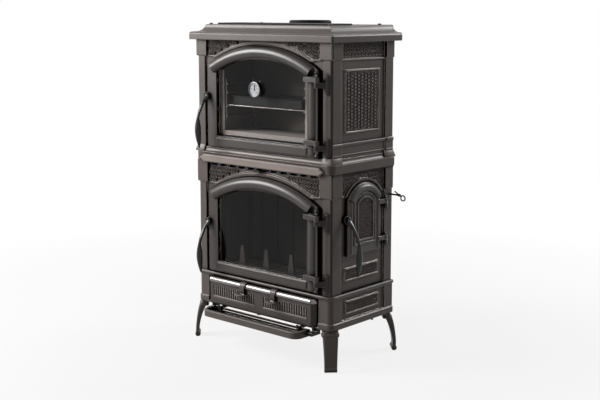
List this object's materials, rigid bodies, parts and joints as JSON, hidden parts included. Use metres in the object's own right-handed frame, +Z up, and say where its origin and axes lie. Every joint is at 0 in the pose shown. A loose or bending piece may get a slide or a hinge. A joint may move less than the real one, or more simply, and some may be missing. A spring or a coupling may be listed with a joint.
{
  "type": "wood cookstove",
  "caption": "Tall cast-iron wood cookstove on curved legs: arched glass oven door over an arched glass fire door, side loading door, ash drawer and top flue.",
  "frame": {"origin": "on the floor under the middle of the stove's box", "axes": "+X to the right seen from the front, +Y to the back, +Z up; the doors face -Y"},
  "size_m": [0.816, 0.492, 1.3],
  "materials": {
    "cast_iron_body": "matt anthracite stove paint on cast iron",
    "cast_iron_inside": "bare dark casting",
    "liner_plate": "ribbed firebox liner, dull",
    "black_gloss": "gloss black lever",
    "black_wire": "black wire grip",
    "steel_pin": "bright drawn steel",
    "dark_steel": "dark zinc and sheet steel",
    "stainless": "brushed stainless sheet and wire",
    "enamel_black": "black enamel",
    "needle_red": "red needle",
    "dial_white": "white enamelled dial plate",
    "stove_glass": "clear ceramic stove glass"
  },
  "bodies": {
    "stove": {"base_casting": "cast_iron_body", "leg_front_left": "cast_iron_body", "leg_front_right": "cast_iron_body", "leg_rear_left": "cast_iron_body", "leg_rear_right": "cast_iron_body", "leg_bolts": "dark_steel", "lower_front": "cast_iron_body", "lower_side_right": "cast_iron_body", "lower_side_left": "cast_iron_body", "lower_back": "cast_iron_inside", "mantel_plate": "cast_iron_body", "mantel_bar": "cast_iron_body", "upper_front": "cast_iron_body", "upper_side_right": "cast_iron_body", "upper_side_left": "cast_iron_body", "upper_back": "cast_iron_inside", "top_cornice": "cast_iron_body", "hob_plate": "cast_iron_body", "flue_collar": "cast_iron_inside", "oven_box": "stainless", "rack_runners": "stainless", "oven_rack": "stainless", "oven_tray": "enamel_black", "oven_hinge_rod": "steel_pin", "oven_hinge_lugs": "cast_iron_body", "fire_hinge_rod": "steel_pin", "fire_hinge_lugs": "cast_iron_body", "side_hinge_pins": "steel_pin", "side_hinge_lugs": "cast_iron_body", "ash_shelf": "cast_iron_body", "shelf_rod": "steel_pin", "shelf_brackets": "dark_steel", "hearth_grate": "cast_iron_inside", "side_liners": "liner_plate", "back_liner": "liner_plate", "log_retainer": "cast_iron_inside", "baffle_plate": "cast_iron_inside"},
    "oven_door_body": {"oven_door": "cast_iron_body", "oven_glass": "stove_glass", "oven_glass_clips": "dark_steel", "thermometer": "stainless", "dial_plate": "dial_white"},
    "oven_handle_body": {"oven_handle": "black_gloss", "oven_latch": "steel_pin"},
    "needle_body": {"thermometer_needle": "needle_red"},
    "fire_door_body": {"fire_door": "cast_iron_body", "fire_glass": "stove_glass", "fire_glass_clips": "dark_steel"},
    "fire_handle_body": {"fire_handle": "black_gloss", "fire_latch": "steel_pin"},
    "side_door_body": {"side_door": "cast_iron_body"},
    "side_handle_body": {"side_handle": "black_gloss", "side_latch": "steel_pin"},
    "drawer_body": {"ash_drawer_front": "cast_iron_body", "ash_pan": "dark_steel"},
    "air_lever_left_body": {"air_lever_left": "cast_iron_body"},
    "air_lever_right_body": {"air_lever_right": "cast_iron_body"},
    "upper_air_body": {"upper_air_slide": "steel_pin"},
    "bypass_body": {"bypass_flap": "steel_pin", "bypass_handle": "black_wire"}
  },
  "joints": [
    {"name": "oven_door_hinge", "type": "hinge", "parent": "stove", "child": "oven_door_body", "pos_m": [0.28105, -0.18501, 0.798], "axis": [0, 0, 1], "range_deg": [0, 110]},
    {"name": "oven_handle_turn", "type": "hinge", "parent": "oven_door_body", "child": "oven_handle_body", "pos_m": [-0.30795, -0.16551, 1.003], "axis": [0, 1, 0], "range_deg": [0, 90]},
    {"name": "thermometer_needle_turn", "type": "hinge", "parent": "oven_door_body", "child": "needle_body", "pos_m": [-0.04495, -0.17291, 1.038], "axis": [0, 1, 0], "range_deg": [-130, 130]},
    {"name": "fire_door_hinge", "type": "hinge", "parent": "stove", "child": "fire_door_body", "pos_m": [0.28105, -0.18501, 0.289], "axis": [0, 0, 1], "range_deg": [0, 110]},
    {"name": "fire_handle_turn", "type": "hinge", "parent": "fire_door_body", "child": "fire_handle_body", "pos_m": [-0.30795, -0.16551, 0.494], "axis": [0, 1, 0], "range_deg": [0, 90]},
    {"name": "side_door_hinge", "type": "hinge", "parent": "stove", "child": "side_door_body", "pos_m": [0.33905, 0.15799, 0.465], "axis": [0, 0, 1], "range_deg": [0, 100]},
    {"name": "side_handle_turn", "type": "hinge", "parent": "side_door_body", "child": "side_handle_body", "pos_m": [0.33405, -0.07001, 0.563], "axis": [-1, 0, 0], "range_deg": [0, 90]},
    {"name": "ash_drawer_slide", "type": "slide", "parent": "stove", "child": "drawer_body", "axis": [0, -1, 0], "range_m": [0, 0.26]},
    {"name": "air_lever_left_slide", "type": "slide", "parent": "drawer_body", "child": "air_lever_left_body", "axis": [1, 0, 0], "range_m": [-0.022, 0.022]},
    {"name": "air_lever_right_slide", "type": "slide", "parent": "drawer_body", "child": "air_lever_right_body", "axis": [1, 0, 0], "range_m": [-0.022, 0.022]},
    {"name": "upper_air_slide_move", "type": "slide", "parent": "stove", "child": "upper_air_body", "axis": [1, 0, 0], "range_m": [0, 0.02]},
    {"name": "bypass_turn", "type": "hinge", "parent": "stove", "child": "bypass_body", "pos_m": [0.32805, 0.19399, 0.629], "axis": [1, 0, 0], "range_deg": [0, 90]}
  ]
}
